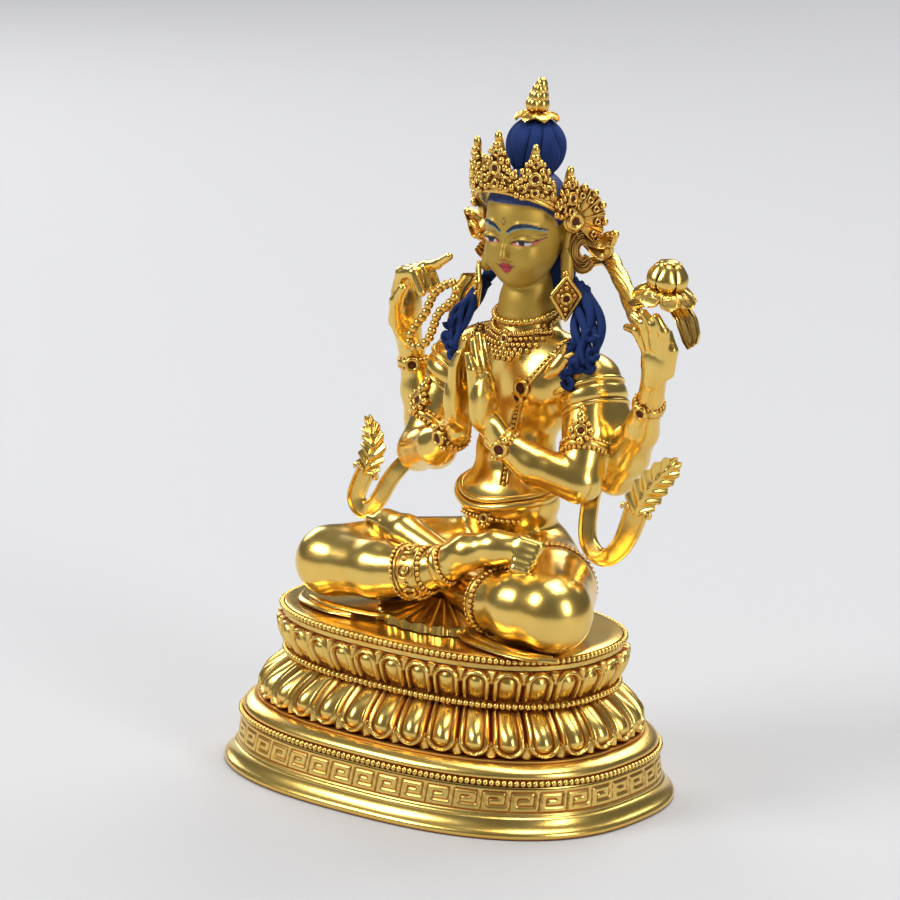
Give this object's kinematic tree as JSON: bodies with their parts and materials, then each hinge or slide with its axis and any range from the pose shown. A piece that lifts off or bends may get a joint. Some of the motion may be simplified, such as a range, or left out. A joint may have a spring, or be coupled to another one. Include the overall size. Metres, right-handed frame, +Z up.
{
  "type": "avalokiteshvara statue",
  "caption": "Seated four-armed bodhisattva in gilt copper with crown, lotus spray, prayer beads and painted face and hair, on an oval double-lotus plinth.",
  "frame": {"origin": "middle of the plinth's underside, which stands on the surface", "axes": "+Z up, -Y the way the figure faces, +X towards the figure's left"},
  "size_m": [0.1399, 0.0976, 0.1991],
  "materials": {
    "gilt_copper": "polished fire-gilt copper with red-brown tone in the recesses; the face, neck and ears in satin cold gold and the hair in flat blue paint"
  },
  "bodies": {
    "root": {"lotus_plinth": "gilt_copper", "figure": "gilt_copper", "crown": "gilt_copper", "left_scarf_end": "gilt_copper", "right_scarf_end": "gilt_copper", "lotus_spray": "gilt_copper", "prayer_beads": "gilt_copper"}
  },
  "joints": []
}
